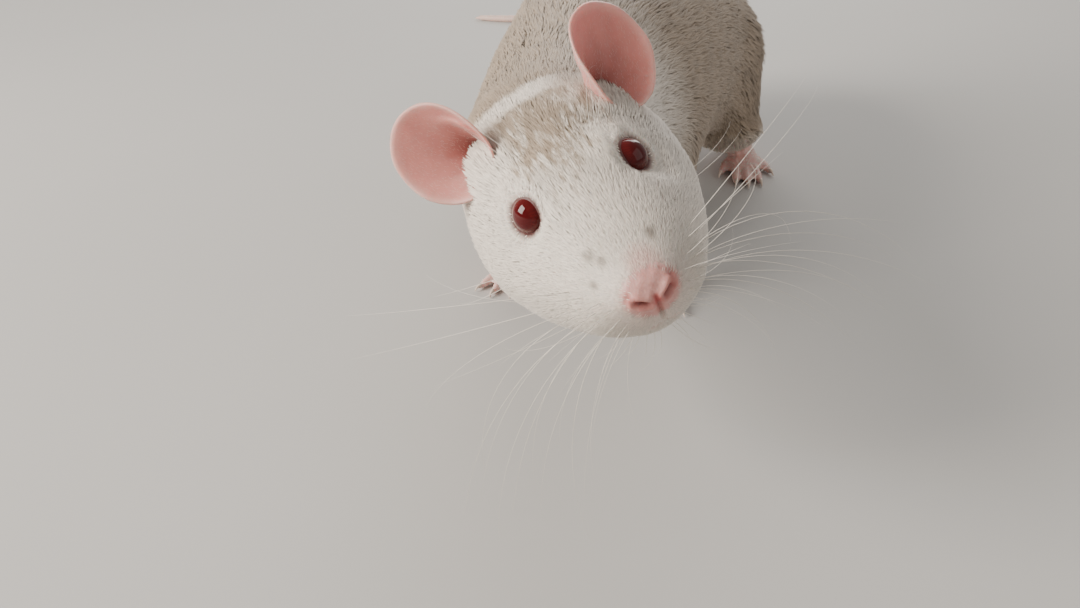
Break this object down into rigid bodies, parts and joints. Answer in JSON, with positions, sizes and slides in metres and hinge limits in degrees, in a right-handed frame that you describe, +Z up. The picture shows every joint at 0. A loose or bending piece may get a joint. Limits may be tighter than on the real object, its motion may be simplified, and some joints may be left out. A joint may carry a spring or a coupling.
{
  "type": "dumbo rat, life-size still model",
  "caption": "Still, life-size model of a dumbo rat standing on all fours, head cocked, with large low round ears, ruby eyes and a long tail laid on the floor.",
  "frame": {"origin": "middle of the model's footprint, on the floor", "axes": "+Z up; the rat faces -Y, its left side is +X, and the tail lies to the rear along +Y"},
  "size_m": [0.1478, 0.3414, 0.0748],
  "materials": {
    "white_fur": "short soft white fur",
    "beige_fur": "short soft beige fur, white below",
    "ear_skin": "thin pink skin with fine down",
    "foot_skin": "bare pink skin",
    "tail_skin": "ringed scaly pink skin",
    "ruby_eye": "wet dark ruby"
  },
  "bodies": {
    "root": {"head": "white_fur", "eye_left": "ruby_eye", "eye_right": "ruby_eye", "ear_left": "ear_skin", "ear_right": "ear_skin", "neck": "beige_fur", "chest": "beige_fur", "belly": "beige_fur", "rump": "beige_fur", "foreleg_left": "white_fur", "foreleg_right": "white_fur", "forepaw_left": "foot_skin", "forepaw_right": "foot_skin", "haunch_left": "beige_fur", "haunch_right": "beige_fur", "hindfoot_left": "foot_skin", "hindfoot_right": "foot_skin", "tail_1": "tail_skin", "tail_2": "tail_skin", "tail_3": "tail_skin", "tail_4": "tail_skin"}
  },
  "joints": []
}
